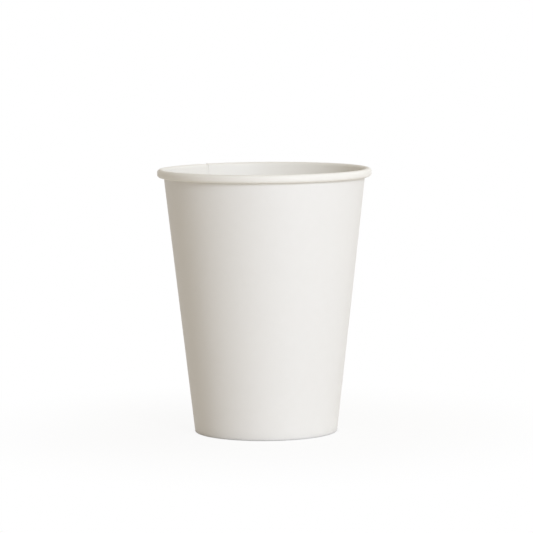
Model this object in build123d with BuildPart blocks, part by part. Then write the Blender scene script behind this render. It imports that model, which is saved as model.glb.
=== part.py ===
"""Single-wall paper coffee cup: a wrapped and seamed side wall with a rolled rim, and a pressed base disc.

The side wall is one board blank. It is wrapped into a cone with an overlapping seam, its top edge is rolled
outwards into the rim, and its foot is folded up inside the base disc's skirt. Both pieces are closed solids of
true board thickness, in millimetres. The origin is the centre of the foot's resting plane, +Z is up, and the
middle of the seam's overlap faces +Y.
"""

import math
import os

from build123d import *

# Overall sizes
RIM_DIAMETER = 90.0  # outside of the rolled rim, the size that a lid is chosen by
FOOT_DIAMETER = 60.0  # outside of the wall, carried down to the resting plane
HEIGHT = 111.0  # resting plane to the top of the rim

# Board
WALL_BOARD = 0.35  # thickness of the side wall's board
BASE_BOARD = 0.30  # thickness of the base disc's board
SEAL_FILM = 0.03  # molten coating between two sealed faces

# Rolled rim
ROLL_WIDTH = 2.9  # inside of the wall to the outside of the roll
ROLL_HEIGHT = 3.5  # top of the rim to the underside of the roll
ROLL_GAP = 0.04  # between the roll's returning side and the wall
TAIL_TIGHTER = 0.30  # how much smaller than the roll's lower bend is the bend of the edge tucked inside it
TAIL_TURN = 110.0  # degrees that the tucked edge turns through

# Side seam, whose widths are measured at the rim
SEAM_OVERLAP = 7.0  # width over which the two edges lie on each other
SEAM_SQUEEZE = 0.10  # how far the hot press sinks one board into the other
SEAM_RAMP = 5.0  # run-up of the outer board on to the inner one

# Foot and base
FOOT_BEND = 0.025  # inside radius of the foot's two bends
BASE_HEIGHT = 8.0  # resting plane to the top face of the base disc
BASE_BEND = 0.45  # inside radius of the base disc's edge
HEM_GAP = 1.5  # top of the folded hem to the underside of the base disc
SKIRT_LIFT = 0.10  # clearance between the skirt's lower edge and the fold under it

# Places worked out from the sizes above. "Middle" is the middle of a board's thickness.
half_board = WALL_BOARD / 2
half_base = BASE_BOARD / 2
foot_radius = FOOT_DIAMETER / 2
rim_radius = RIM_DIAMETER / 2
roll_radius = (ROLL_WIDTH - WALL_BOARD) / 2
roll_centre_r = rim_radius - half_board - roll_radius
roll_centre_z = HEIGHT - half_board - roll_radius

# The wall's outer face leaves the foot and just touches the inside of the roll's top.
to_roll = math.atan2(roll_centre_r - foot_radius, roll_centre_z)
touch = math.asin((roll_radius - half_board) / math.hypot(roll_centre_r - foot_radius, roll_centre_z))
wall_lean = to_roll - touch


def wall_radius(z, outwards=0.0):
    """Radius at height z of the wall's outer face, or of a cone parallel to it and that far outside it."""
    return foot_radius + z * math.tan(wall_lean) + outwards / math.cos(wall_lean)


# The roll's returning side clears the wall by ROLL_GAP, level with the centre of its lower bend.
room = rim_radius - WALL_BOARD - ROLL_GAP - wall_radius(HEIGHT - ROLL_HEIGHT + half_board)
lower_radius = room / (2 + math.tan(wall_lean))
roll_side = roll_centre_z - (HEIGHT - ROLL_HEIGHT + half_board + lower_radius)
tail_radius = lower_radius - TAIL_TIGHTER

hem_top = BASE_HEIGHT - BASE_BOARD - HEM_GAP
wall_to_hem = WALL_BOARD + BASE_BOARD + 2 * SEAL_FILM  # from middle to middle
seam_step = WALL_BOARD - SEAM_SQUEEZE
overlap_angle = math.degrees(SEAM_OVERLAP / rim_radius)
ramp_angle = math.degrees(SEAM_RAMP / rim_radius)

# Anticlockwise from above come the outer raw edge, the overlap, the inner raw edge and the run-up.
outer_edge = 90 - overlap_angle / 2
inner_edge = outer_edge + overlap_angle
ramp_start = inner_edge + ramp_angle


def section_plane(azimuth):
    """Upright plane on the cup's axis, whose x is the radius and y the height."""
    turn = math.radians(azimuth)
    return Plane(
        origin=(0, 0, 0),
        x_dir=(math.cos(turn), math.sin(turn), 0),
        z_dir=(math.sin(turn), -math.cos(turn), 0),
    )


def board_line(outwards, shift):
    """Draw a line along the side wall's board, from the hem to the tucked edge, and return its two ends.

    It runs outwards from the middle of the board. The lapping board is moved out by shift, but at the foot it
    is pressed level with the board that it laps over, so that the cup stands flat.
    """
    beside = outwards + shift
    foot_z = half_board - outwards
    hem = [wall_radius(z, -half_board - wall_to_hem - beside) for z in (hem_top, foot_z)]
    roll_inside = roll_radius - beside
    fold = FilletPolyline(
        (hem[0], hem_top),
        (hem[1], foot_z),
        (wall_radius(foot_z, beside - half_board), foot_z),
        (
            roll_centre_r - roll_inside * math.cos(wall_lean),
            roll_centre_z + roll_inside * math.sin(wall_lean),
        ),
        radius=FOOT_BEND + half_board + outwards,
    )
    top = JernArc(fold @ 1, fold % 1, roll_inside, math.degrees(wall_lean) - 180)
    side = Line(top @ 1, (top @ 1) - Vector(0, roll_side))
    under = JernArc(side @ 1, side % 1, lower_radius - beside, -180)
    tail = JernArc(under @ 1, under % 1, tail_radius - beside, -TAIL_TURN)
    return fold @ 0, tail @ 1


def wall_section(azimuth, shift=0.0):
    """The side wall's board cut through by an upright plane."""
    with BuildSketch(section_plane(azimuth), mode=Mode.PRIVATE) as section:
        with BuildLine():
            outer_ends = board_line(half_board, shift)
            inner_ends = board_line(-half_board, shift)
            for outer_end, inner_end in zip(outer_ends, inner_ends):
                Line(outer_end, inner_end)
        make_face()
    return section.sketch


# Side wall: once round in one board, then up on to the first edge and over it.
with BuildPart() as sidewall:
    revolve(wall_section(ramp_start), axis=Axis.Z, revolution_arc=360 - ramp_angle)
    loft([wall_section(ramp_start), wall_section(inner_edge, seam_step)], ruled=True)
    revolve(wall_section(outer_edge, seam_step), axis=Axis.Z, revolution_arc=overlap_angle)
sidewall.part.label = "sidewall"

# Base disc: a flat disc whose edge is pressed down into a skirt, which the side wall's fold holds.
skirt_face = -WALL_BOARD - SEAL_FILM - half_base  # from the wall's outer face to the skirt's middle
skirt_foot = WALL_BOARD + SKIRT_LIFT
base_middle = BASE_HEIGHT - half_base


def base_line(outwards):
    """Draw a line along the base disc's board, outwards from its middle, and return its two ends."""
    skirt = FilletPolyline(
        (0, base_middle + outwards),
        (wall_radius(base_middle + outwards, skirt_face + outwards), base_middle + outwards),
        (wall_radius(skirt_foot, skirt_face + outwards), skirt_foot),
        radius=BASE_BEND + half_base + outwards,
    )
    return skirt @ 0, skirt @ 1


with BuildPart() as base_disc:
    with BuildSketch(section_plane(0)):
        with BuildLine():
            upper_ends = base_line(half_base)
            lower_ends = base_line(-half_base)
            for upper_end, lower_end in zip(upper_ends, lower_ends):
                Line(upper_end, lower_end)
        make_face()
    revolve(axis=Axis.Z)
base_disc.part.label = "base_disc"

os.makedirs("parts", exist_ok=True)
for piece in (sidewall, base_disc):
    export_step(piece.part, f"parts/{piece.part.label}.step")
    print(f"{piece.part.label}: {len(piece.part.solids())} solid, {piece.part.volume:.1f} cubic millimetres")
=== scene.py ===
# %% [markdown]
# # A paper cup for hot drinks
#
# A single-wall paper cup is made of two pieces of coated board. A fan-shaped blank is wrapped into a cone, its
# edges are lapped and sealed, its top is rolled outwards into the rim, and its foot is folded up round the skirt
# of a pressed base disc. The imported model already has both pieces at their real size. This script draws them again
# as boards with raw edges, a pressed seam and a rim that is never quite round, and gives them the finish of board.

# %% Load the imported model
import math

import bmesh
import bpy
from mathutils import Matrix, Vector, noise


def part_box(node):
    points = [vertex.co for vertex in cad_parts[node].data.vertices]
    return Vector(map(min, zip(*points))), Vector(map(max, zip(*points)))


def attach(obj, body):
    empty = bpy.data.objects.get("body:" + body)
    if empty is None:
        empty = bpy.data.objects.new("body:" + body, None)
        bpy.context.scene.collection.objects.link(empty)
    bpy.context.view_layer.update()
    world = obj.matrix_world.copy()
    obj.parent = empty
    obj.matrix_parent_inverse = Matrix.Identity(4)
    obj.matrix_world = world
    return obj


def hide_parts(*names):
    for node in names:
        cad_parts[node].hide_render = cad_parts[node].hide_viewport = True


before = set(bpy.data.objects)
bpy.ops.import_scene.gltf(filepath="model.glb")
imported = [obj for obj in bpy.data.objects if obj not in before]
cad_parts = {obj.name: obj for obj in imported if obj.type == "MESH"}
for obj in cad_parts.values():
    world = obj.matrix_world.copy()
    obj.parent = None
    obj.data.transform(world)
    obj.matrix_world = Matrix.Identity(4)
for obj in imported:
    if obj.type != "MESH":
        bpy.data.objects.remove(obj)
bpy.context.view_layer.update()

MM = 0.001
wall_low, wall_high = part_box("sidewall")
base_low, base_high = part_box("base_disc")

# %% [markdown]
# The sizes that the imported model's boxes can tell are read from them: the rim's radius, the height, and the
# heights of the base. The rest are a cup maker's sizes, given here by name. "Middle" is the middle of the board's
# thickness, because each piece is drawn as a sheet with no thickness first.

# %% Sizes
RIM_RADIUS = wall_high.x
HEIGHT = wall_high.z
BASE_TOP = base_high.z
SKIRT_FOOT = base_low.z
FOOT_RADIUS = 30.0 * MM
WALL_BOARD = 0.35 * MM
BASE_BOARD = 0.30 * MM
SEAL_FILM = 0.03 * MM
ROLL_WIDTH = 2.9 * MM
ROLL_HEIGHT = 3.5 * MM
ROLL_GAP = 0.04 * MM
TAIL_TIGHTER = 0.30 * MM
TAIL_TURN = 110
FOOT_BEND = 0.20 * MM
BASE_BEND = 0.60 * MM
HEM_TOP = BASE_TOP - BASE_BOARD - 1.5 * MM
SEAM_MIDDLE = 90
SEAM_OVERLAP = math.degrees(7.0 * MM / RIM_RADIUS)
SEAM_RAMP = math.degrees(5.0 * MM / RIM_RADIUS)
SEAM_BOARD = 0.25 * MM
SEAM_GAP = 0.005 * MM

half_board = WALL_BOARD / 2
half_base = BASE_BOARD / 2
roll_radius = (ROLL_WIDTH - WALL_BOARD) / 2
roll_x = RIM_RADIUS - half_board - roll_radius
roll_z = HEIGHT - half_board - roll_radius
to_roll = math.atan2(roll_x - FOOT_RADIUS, roll_z)
LEAN = to_roll - math.asin((roll_radius - half_board) / math.hypot(roll_x - FOOT_RADIUS, roll_z))
lean_degrees = math.degrees(LEAN)
across = Vector((math.cos(LEAN), 0, -math.sin(LEAN)))


def beside_wall(outwards, z):
    """The point at height z that is so far outwards from the wall's outer face."""
    return Vector((FOOT_RADIUS + z * math.tan(LEAN) + outwards / math.cos(LEAN), 0, z))


print("the wall leans", round(lean_degrees, 2), "degrees")

# %% [markdown]
# A board's section is a line, and Blender can draw one from a single point. A plane is merged to one vertex, and
# that vertex is extruded along each straight stretch and spun about a centre for each bend. The newest vertex
# stays selected, so each step goes on from the last one. Seen from the front, with the axis on the left, a
# positive bend turns clockwise.

# %% Helpers that draw a section
def only(piece):
    """Make this piece the one that is selected and active."""
    bpy.ops.object.select_all(action="DESELECT")
    piece.select_set(True)
    bpy.context.view_layer.objects.active = piece


def start_line(name, point):
    """Start a section at a point, and stay in edit mode."""
    bpy.ops.object.select_all(action="DESELECT")
    bpy.ops.mesh.primitive_plane_add(size=MM, location=point)
    piece = bpy.context.object
    piece.name = piece.data.name = name
    bpy.ops.object.transform_apply(location=True, rotation=True, scale=True)
    bpy.ops.object.mode_set(mode="EDIT")
    bpy.ops.mesh.select_all(action="SELECT")
    bpy.ops.mesh.merge(type="CENTER")
    return piece


def tip():
    """Where the selected vertex is."""
    mesh = bmesh.from_edit_mesh(bpy.context.object.data)
    return next(vertex.co.copy() for vertex in mesh.verts if vertex.select)


def run_to(point, steps):
    """Extrude the selected vertex in a straight line to a point."""
    step = (point - tip()) / steps
    for _ in range(steps):
        bpy.ops.mesh.extrude_region_move(TRANSFORM_OT_translate={"value": step})


def bend(centre, degrees, steps):
    """Spin the selected vertex round a centre, clockwise if degrees is positive."""
    bpy.ops.mesh.spin(steps=steps, angle=-math.radians(degrees), center=centre, axis=(0, 1, 0))


def turn(degrees, steps=1):
    """Spin the selected section round the cup's axis, clockwise as seen from above."""
    bpy.ops.mesh.spin(steps=steps, angle=math.radians(degrees), center=(0, 0, 0), axis=(0, 0, 1))

# %% [markdown]
# ## The side wall
#
# The line starts at the top of the hem, inside the foot. It goes down to the foot's two bends, up the long wall,
# over the roll, down its outer side, round its lower bend, and ends tucked inside the roll.

# %% Draw the wall's section
to_hem = WALL_BOARD + BASE_BOARD + 2 * SEAL_FILM
bend_z = half_board + FOOT_BEND
inner_bend = beside_wall(FOOT_BEND - half_board - to_hem, bend_z)
outer_bend = beside_wall(-FOOT_BEND - half_board, bend_z)
roll_centre = Vector((roll_x, 0, roll_z))
roll_low = HEIGHT - ROLL_HEIGHT + half_board
room = RIM_RADIUS - WALL_BOARD - ROLL_GAP - beside_wall(0, roll_low).x
lower_radius = room / (2 + math.tan(LEAN))
lower_centre = Vector((RIM_RADIUS - half_board - lower_radius, 0, roll_low + lower_radius))
tail_centre = lower_centre - Vector((TAIL_TIGHTER, 0, 0))

sidewall = start_line("cup_sidewall", beside_wall(-half_board - to_hem, HEM_TOP))
run_to(inner_bend - FOOT_BEND * across, steps=6)
bend(inner_bend, -90 - lean_degrees, steps=5)
run_to(outer_bend - Vector((0, 0, FOOT_BEND)), steps=2)
bend(outer_bend, lean_degrees - 90, steps=5)
run_to(roll_centre - roll_radius * across, steps=26)
bend(roll_centre, 180 - lean_degrees, steps=16)
run_to(lower_centre + Vector((lower_radius, 0, 0)), steps=2)
bend(lower_centre, 180, steps=14)
bend(tail_centre, TAIL_TURN, steps=9)
print("the wall's section ends at", [round(v / MM, 3) for v in tip()])

# %% [markdown]
# A lathe would close the section into a ring, but the real board has two raw edges, so it is turned past a full
# circle and the last stretch lies over the first. Two vertex groups are filled on the way. "lap" says how far each
# column has climbed on to the other edge, and "press" says where the hot press made the board thinner. A turned
# column takes its weights from the column before it, so the first plain one is unmarked before the others follow.

# %% Wrap the board and mark its seam
LAP_STEPS = 6
RAMP_STEPS = 8
PLAIN_STEPS = 216


def mark(group, weight):
    """Give the selected vertices a weight in a vertex group."""
    groups = bpy.context.object.vertex_groups
    groups.active_index = groups[group].index
    bpy.context.scene.tool_settings.vertex_group_weight = weight
    bpy.ops.object.vertex_group_assign()


def ease(share):
    """A smooth start and stop between 0 and 1."""
    return share * share * (3 - 2 * share)


sidewall.vertex_groups.new(name="lap")
sidewall.vertex_groups.new(name="press")
bpy.ops.mesh.select_all(action="SELECT")
mark("press", 1)
for _ in range(LAP_STEPS):
    turn(SEAM_OVERLAP / LAP_STEPS)
    mark("press", 1)
plain_turn = 360 - SEAM_OVERLAP - SEAM_RAMP
turn(plain_turn / PLAIN_STEPS)
mark("press", 0)
turn(plain_turn * (PLAIN_STEPS - 1) / PLAIN_STEPS, PLAIN_STEPS - 1)
for step in range(1, RAMP_STEPS + 1):
    turn(SEAM_RAMP / RAMP_STEPS)
    mark("lap", ease(step / RAMP_STEPS))
    mark("press", ease(step / RAMP_STEPS))
for _ in range(LAP_STEPS):
    turn(SEAM_OVERLAP / LAP_STEPS)
    mark("lap", 1)
    mark("press", 1)
bpy.ops.object.mode_set(mode="OBJECT")
print("the wrapped board has", len(sidewall.data.polygons), "faces")

# %% [markdown]
# The faces have to point outwards on the wall, so that "outwards" means the same for every modifier. Displace then
# lifts the lapping columns over the first edge. At the foot the press sets both edges level, so that the cup
# stands flat: whatever sank below the board's middle there is scaled back up to it.

# %% Lift the lapping edge
def face_outwards(piece, low, high):
    """Turn the faces round if the wall between two heights looks at the axis."""
    wall = [face for face in piece.data.polygons if low < face.center.z < high]
    if sum(face.normal.x * face.center.x + face.normal.y * face.center.y for face in wall) < 0:
        bpy.ops.object.mode_set(mode="EDIT")
        bpy.ops.mesh.select_all(action="SELECT")
        bpy.ops.mesh.flip_normals()
        bpy.ops.object.mode_set(mode="OBJECT")


def apply_modifier(piece, kind, **settings):
    """Add a modifier with these settings and apply it."""
    modifier = piece.modifiers.new(kind.lower(), kind)
    for name, value in settings.items():
        setattr(modifier, name, value)
    bpy.ops.object.modifier_apply(modifier=modifier.name)


only(sidewall)
sidewall.rotation_euler.z = math.radians(SEAM_MIDDLE + SEAM_OVERLAP / 2)
bpy.ops.object.transform_apply(location=False, rotation=True, scale=False)
face_outwards(sidewall, HEIGHT / 4, HEIGHT / 2)
apply_modifier(sidewall, "DISPLACE", vertex_group="lap", strength=SEAM_BOARD + SEAM_GAP, mid_level=0)

bpy.ops.object.mode_set(mode="EDIT")
bpy.ops.mesh.select_all(action="DESELECT")
for vertex in bmesh.from_edit_mesh(sidewall.data).verts:
    vertex.select = vertex.co.z < half_board
bpy.ops.transform.resize(value=(1, 1, 0), center_override=(0, 0, half_board))
bpy.ops.object.mode_set(mode="OBJECT")
print("the foot's lowest middle is at", round(min(v.co.z for v in sidewall.data.vertices) / MM, 3), "mm")

# %% [markdown]
# A real cup is never quite round. The hand, the stack and the stiff strip of the seam leave the rim a little oval
# and the wall waving by a few hundredths of a millimetre, and the rim is pulled down a little beside the seam, on
# the side where the board climbs. A formula on each vertex says this best, because it has to fade out towards the
# foot, where the base disc keeps the cup round.

# %% Let the wall settle out of round
OVAL = 0.05 * MM
OVAL_PHASE = 1.0
WAVE = 0.05 * MM
WAVE_COUNT = 3
RIM_DIP = 0.15 * MM
DIP_START = math.radians(SEAM_MIDDLE + SEAM_OVERLAP / 2)
DIP_WIDTH = math.radians(52)
for vertex in sidewall.data.vertices:
    out = Vector((vertex.co.x, vertex.co.y, 0)).normalized()
    around = math.atan2(out.y, out.x)
    share = max(0, (vertex.co.z - BASE_TOP) / (HEIGHT - BASE_TOP))
    wave = WAVE * share * noise.noise(WAVE_COUNT * (out + Vector((0, 0, share))))
    vertex.co += (OVAL * share ** 2 * math.cos(2 * around - OVAL_PHASE) + wave) * out
    past_seam = min(1, max(0, (around - DIP_START) / DIP_WIDTH))
    vertex.co.z -= RIM_DIP * share ** 4 * math.sin(math.pi * past_seam ** 0.8)

# %% [markdown]
# Solidify gives the sheet its thickness. Its material offsets are handy here: the outer face keeps the first
# material, which is bare board, the inner face gets the second, which is coated, and the rim of the sheet gets the
# third, which is the raw cut edge. As the top is rolled outwards, the roll shows the coated face, as it does on a
# real cup. A tiny bevel keeps the cut edges from being sharper than paper can be.

# %% Give the board its thickness
CUT_BEVEL = 0.03 * MM
CUT_ANGLE = 60
SMOOTH_ANGLE = 35


def thicken(piece, thickness, **seam):
    """Turn a sheet into a board with three materials: its faces' side, the other side and the cut edges."""
    only(piece)
    apply_modifier(piece, "SOLIDIFY", thickness=thickness, offset=0, use_even_offset=True, use_rim=True,
                   material_offset=1, material_offset_rim=2, **seam)
    apply_modifier(piece, "BEVEL", width=CUT_BEVEL, segments=1, limit_method="ANGLE",
                   angle_limit=math.radians(CUT_ANGLE))
    bpy.ops.object.shade_smooth_by_angle(angle=math.radians(SMOOTH_ANGLE))
    piece.vertex_groups.clear()


def give_materials(piece, *names):
    """Give a piece its materials, in the order of its slots. The materials are finished further down."""
    for name in names:
        piece.data.materials.append(bpy.data.materials.get(name) or bpy.data.materials.new(name))


give_materials(sidewall, "bare_board", "coated_board", "cut_edge")
thicken(sidewall, WALL_BOARD, vertex_group="press", invert_vertex_group=True,
        thickness_vertex_group=SEAM_BOARD / WALL_BOARD)
print("the side wall has", len(sidewall.data.polygons), "faces")

# %% [markdown]
# ## The base disc
#
# The base is one round blank whose edge is pressed down into a skirt. Its section runs from the axis to the bend
# and down the skirt, and this one is turned through exactly one circle, so its first and last columns, and all the
# points on the axis, are merged.

# %% Draw, turn and thicken the base
BASE_STEPS = 144
skirt = -WALL_BOARD - SEAL_FILM - half_base
base_z = BASE_TOP - half_base
edge_bend = beside_wall(skirt - BASE_BEND, base_z - BASE_BEND)

base_disc = start_line("cup_base_disc", Vector((0, 0, base_z)))
run_to(edge_bend + Vector((0, 0, BASE_BEND)), steps=12)
bend(edge_bend, 90 + lean_degrees, steps=8)
run_to(beside_wall(skirt, SKIRT_FOOT), steps=5)
bpy.ops.mesh.select_all(action="SELECT")
turn(360, BASE_STEPS)
bpy.ops.mesh.select_all(action="SELECT")
bpy.ops.mesh.remove_doubles(threshold=MM / 1000)
bpy.ops.mesh.normals_make_consistent(inside=False)
bpy.ops.object.mode_set(mode="OBJECT")
if base_disc.data.polygons[0].normal.z < 0:
    base_disc.data.flip_normals()

give_materials(base_disc, "coated_board", "bare_board", "cut_edge")
thicken(base_disc, BASE_BOARD)
print("the base disc has", len(base_disc.data.polygons), "faces")

# %% [markdown]
# Each drawn piece stands for its imported node: it rides on the same body, and the plain node is hidden.

# %% Put the pieces in the frame
for piece, node, slot in ((sidewall, "sidewall", "wall_board"), (base_disc, "base_disc", "base_board")):
    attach(piece, "root")
    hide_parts(node)

# %% [markdown]
# ## Materials
#
# Shader maths is easier to read as arithmetic than as a list of nodes. `Socket` wraps an output socket, so that
# `1 - 0.5 * cloud` adds the Math nodes it needs, and `Finish.node` makes any other node.

# %% A small language for materials
class Socket:
    """An output socket that adds a Math node for each operator used on it."""

    def __init__(self, finish, output):
        self.finish = finish
        self.output = output

    def maths(self, operation, first, second):
        return self.finish.node("ShaderNodeMath", {"operation": operation}, {0: first, 1: second})

    def __add__(self, other):
        return self.maths("ADD", self, other)

    def __sub__(self, other):
        return self.maths("SUBTRACT", self, other)

    def __rsub__(self, other):
        return self.maths("SUBTRACT", other, self)

    def __mul__(self, other):
        return self.maths("MULTIPLY", self, other)

    __radd__ = __add__
    __rmul__ = __mul__


class Finish:
    """The node tree of a material or of the world."""

    def __init__(self, owner):
        owner.use_nodes = True
        self.nodes = owner.node_tree.nodes
        self.links = owner.node_tree.links

    def put(self, socket, value):
        """Link a socket to another, or set its value."""
        if isinstance(value, Socket):
            self.links.new(value.output, socket)
        else:
            socket.default_value = value

    def node(self, kind, settings=None, sockets=None, output=0):
        """Add a node, set it up, fill its sockets and return one of its outputs."""
        made = self.nodes.new(kind)
        for name, value in (settings or {}).items():
            setattr(made, name, value)
        for name, value in (sockets or {}).items():
            self.put(made.inputs[name], value)
        return Socket(self, made.outputs[output])

    def noise(self, place, size, detail=2.0):
        """Cloudy noise from 0 to 1, whose features are about so large."""
        return self.node("ShaderNodeTexNoise", {}, {"Vector": place, "Scale": 1 / size, "Detail": detail})

    def mix(self, share, first, second):
        """One colour turning into another."""
        made = self.nodes.new("ShaderNodeMix")
        made.data_type = "RGBA"
        self.put(made.inputs["Factor"], share)
        self.put(made.inputs[6], first)
        self.put(made.inputs[7], second)
        return Socket(self, made.outputs[2])

# %% [markdown]
# Cup board is bleached fibre, pressed smooth. Held to the light it is cloudy, because the fibres lie in flocks a
# few millimetres wide, and its surface has a fine tooth that runs a little along the cup's height, the way the
# board's grain does. The drink's side has a thin film, which fills the tooth and shines a little. A cut edge shows
# the fibres end on, darker and rough. One function makes all three from their colours, tooth and roughness.

# %% Board finishes
FLOCK = 3.5 * MM
TOOTH = 0.16 * MM
ROLLER = 1.6 * MM
GRAIN = 0.45


def board_finish(name, light, dark, roughness, tooth_height, roller_height):
    """Fill a material with board: its two colours, its roughness, and the heights of its tooth and its waviness."""
    finish = Finish(bpy.data.materials[name])
    shader = finish.nodes["Principled BSDF"]
    place = finish.node("ShaderNodeTexCoord", output="Object")
    grain = finish.node("ShaderNodeMapping", {}, {"Vector": place, "Scale": (1, 1, GRAIN)})
    flock = finish.noise(place, FLOCK, 3.0)
    tooth = finish.noise(grain, TOOTH, 4.0)
    roller = finish.noise(grain, ROLLER, 2.0)
    finish.put(shader.inputs["Base Color"], finish.mix(0.7 * flock + 0.3 * tooth, dark, light))
    finish.put(shader.inputs["Roughness"], roughness + 0.12 * (flock - 0.5) + 0.10 * (tooth - 0.5))
    height = tooth_height * tooth + roller_height * roller
    finish.put(shader.inputs["Normal"], finish.node("ShaderNodeBump", {}, {"Height": height, "Distance": 1.0}))


board_finish("bare_board", (0.880, 0.868, 0.838, 1), (0.850, 0.836, 0.802, 1), 0.62, 0.006 * MM, 0.010 * MM)
board_finish("coated_board", (0.914, 0.895, 0.842, 1), (0.894, 0.875, 0.820, 1), 0.55, 0.002 * MM, 0.012 * MM)
board_finish("cut_edge", (0.87, 0.85, 0.81, 1), (0.79, 0.76, 0.71, 1), 0.85, 0.020 * MM, 0.010 * MM)

# %% [markdown]
# ## Floor and light
#
# The cup stands on a pale table before a white background. The table is lit for real, so that it throws light up
# under the roll and keeps the cup's shadow, but what the camera sees of it is mostly plain white, which fades to
# white altogether away from the cup. Close beside the foot its colour is painted dark. This is painted shade: it
# darkens the light the table throws on the foot's rounded edge, and gives the dark line under the cup.

# %% Floor
FLOOR_SIZE = 8.0
SHADOW_REACH = 0.16
SHADOW_SHARE = 0.09
# How far beyond the foot the table's colour is darkened, as painted shade.
PAINTED_SHADE_REACH = 1.5 * MM
FLOOR_COLOR = (0.82, 0.79, 0.74, 1)
# The colour of that painted shade beside the foot.
PAINTED_SHADE_COLOR = (0.16, 0.15, 0.13, 1)

bpy.ops.object.select_all(action="DESELECT")
bpy.ops.mesh.primitive_plane_add(size=FLOOR_SIZE, location=(0, 0, 0))
floor = bpy.context.object
floor.name = "floor"


def seen_rays(finish):
    """1 for what the camera sees, straight or in gloss or glass, and 0 for the light that falls on the cup."""
    rays = finish.nodes.new("ShaderNodeLightPath").outputs
    camera, glossy, through = (Socket(finish, rays[name]) for name in
                               ("Is Camera Ray", "Is Glossy Ray", "Is Transmission Ray"))
    return camera.maths("MAXIMUM", camera.maths("MAXIMUM", camera, glossy), through)


floor.data.materials.append(bpy.data.materials.new("table"))
table = Finish(floor.data.materials[0])
table.nodes.remove(table.nodes["Principled BSDF"])
spot = table.node("ShaderNodeTexCoord", output="Object")
distance = table.node("ShaderNodeVectorMath", {"operation": "LENGTH"}, {0: spot}, output="Value")
near = table.node("ShaderNodeMapRange", {"interpolation_type": "SMOOTHSTEP"},
                  {"Value": distance, "From Min": SHADOW_REACH, "From Max": FOOT_RADIUS})
# Painted shade: close beside the foot the table's colour turns dark, so it throws less light on the foot's rounded
# edge.
painted_shade = table.node("ShaderNodeMapRange", {"interpolation_type": "SMOOTHSTEP"},
                     {"Value": distance, "From Min": FOOT_RADIUS + PAINTED_SHADE_REACH, "From Max": FOOT_RADIUS})
lit = table.node("ShaderNodeBsdfDiffuse", {}, {"Color": table.mix(painted_shade, FLOOR_COLOR, PAINTED_SHADE_COLOR)})
white = table.node("ShaderNodeEmission", {}, {"Color": (1, 1, 1, 1), "Strength": 1.0})
shown = table.node("ShaderNodeMixShader", {},
                   {0: seen_rays(table) * (1 - SHADOW_SHARE * near), 1: lit, 2: white})
table.put(table.nodes["Material Output"].inputs["Surface"], shown)

# %% [markdown]
# The light round the cup is warm, and stronger overhead, where it enters the cup. A large cool lamp lights the cup
# from the right of the camera, and a weaker one from the right and behind. The camera sees plain white instead.

# %% World and lamps
FILL = 0.333
FILL_COLOR = (1.0, 0.915, 0.82, 1)
OVERHEAD = 0.58
OVERHEAD_COLOR = (1.0, 0.90, 0.74, 1)
KEY_POWER = 24.4
KEY_COLOR = (0.816, 0.881, 1.0)
SIDE_POWER = 2.7
SIDE_COLOR = (0.90, 0.95, 1.0)
OVERHEAD_FROM = 0.2
VIEW_AZIMUTH = -30.3

bpy.context.scene.world = bpy.data.worlds.new("studio")
studio = Finish(bpy.context.scene.world)
studio.nodes.remove(studio.nodes["Background"])
all_round = studio.node("ShaderNodeBackground", {}, {"Color": FILL_COLOR, "Strength": FILL})
overhead = studio.node("ShaderNodeBackground", {}, {"Color": OVERHEAD_COLOR, "Strength": OVERHEAD})
looking = studio.node("ShaderNodeTexCoord", output="Generated")
upwards = studio.node("ShaderNodeSeparateXYZ", {}, {0: looking}, output="Z")
towards_top = studio.node("ShaderNodeMapRange", {"interpolation_type": "SMOOTHSTEP"},
                          {"Value": upwards, "From Min": OVERHEAD_FROM})
around_cup = studio.node("ShaderNodeMixShader", {}, {0: towards_top, 1: all_round, 2: overhead})
backdrop = studio.node("ShaderNodeBackground", {}, {"Color": (1, 1, 1, 1), "Strength": 1.0})
sky = studio.node("ShaderNodeMixShader", {}, {0: seen_rays(studio), 1: around_cup, 2: backdrop})
studio.put(studio.nodes["World Output"].inputs["Surface"], sky)


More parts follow.
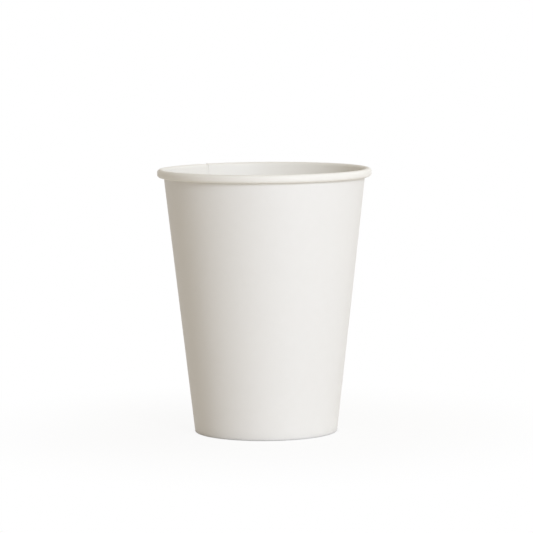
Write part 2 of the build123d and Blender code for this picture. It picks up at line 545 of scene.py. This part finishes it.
def around_axis(azimuth, elevation, distance, height):
    """A point round the cup: azimuth 0 is in front, on -Y, and 90 is on +X."""
    turned, raised = math.radians(azimuth), math.radians(elevation)
    flat = Vector((math.sin(turned), -math.cos(turned), 0))
    return flat * distance * math.cos(raised) + Vector((0, 0, height + distance * math.sin(raised)))


def aim(thing, place, target):
    """Put a lamp or the camera at a place, looking at a target."""
    thing.location = place
    thing.rotation_euler = (target - place).to_track_quat("-Z", "Y").to_euler()


def soft_box(name, azimuth, elevation, distance, size, power, color):
    """A large square lamp that looks at the middle of the cup."""
    bpy.ops.object.light_add(type="AREA")
    lamp = bpy.context.object
    lamp.name = name
    lamp.data.shape = "SQUARE"
    lamp.data.size = size
    lamp.data.energy = power
    lamp.data.color = color
    aim(lamp, around_axis(azimuth, elevation, distance, HEIGHT / 2), Vector((0, 0, HEIGHT / 2)))


soft_box("key", VIEW_AZIMUTH + 30, elevation=19, distance=2.0, size=0.77, power=KEY_POWER, color=KEY_COLOR)
soft_box("side_light", VIEW_AZIMUTH + 120, elevation=35, distance=1.3, size=0.9, power=SIDE_POWER, color=SIDE_COLOR)

# %% [markdown]
# ## Camera
#
# The cup is seen from a little above its middle through a long lens, so that its sides hardly converge. The camera
# leans by less than half a degree, and the seam is on the far side, where its inner edge just shows past the rim.

# %% Camera
CAMERA_DISTANCE = 1.25
CAMERA_PITCH = 5.5
AIM_HEIGHT = 69.56 * MM
AIM_ASIDE = 0.62 * MM
CAMERA_ROLL = -0.0071
LENS = 200.63

bpy.ops.object.camera_add()
camera = bpy.context.object
camera.data.lens = LENS
camera.data.clip_end = 20
turned = math.radians(VIEW_AZIMUTH)
aside = AIM_ASIDE * Vector((math.cos(turned), math.sin(turned), 0))
seen_from = around_axis(VIEW_AZIMUTH, CAMERA_PITCH, CAMERA_DISTANCE, AIM_HEIGHT) + aside
aim(camera, seen_from, Vector((0, 0, AIM_HEIGHT)) + aside)
camera.rotation_euler.rotate_axis("Z", CAMERA_ROLL)
bpy.context.scene.camera = camera
bpy.context.scene.view_settings.view_transform = "Standard"
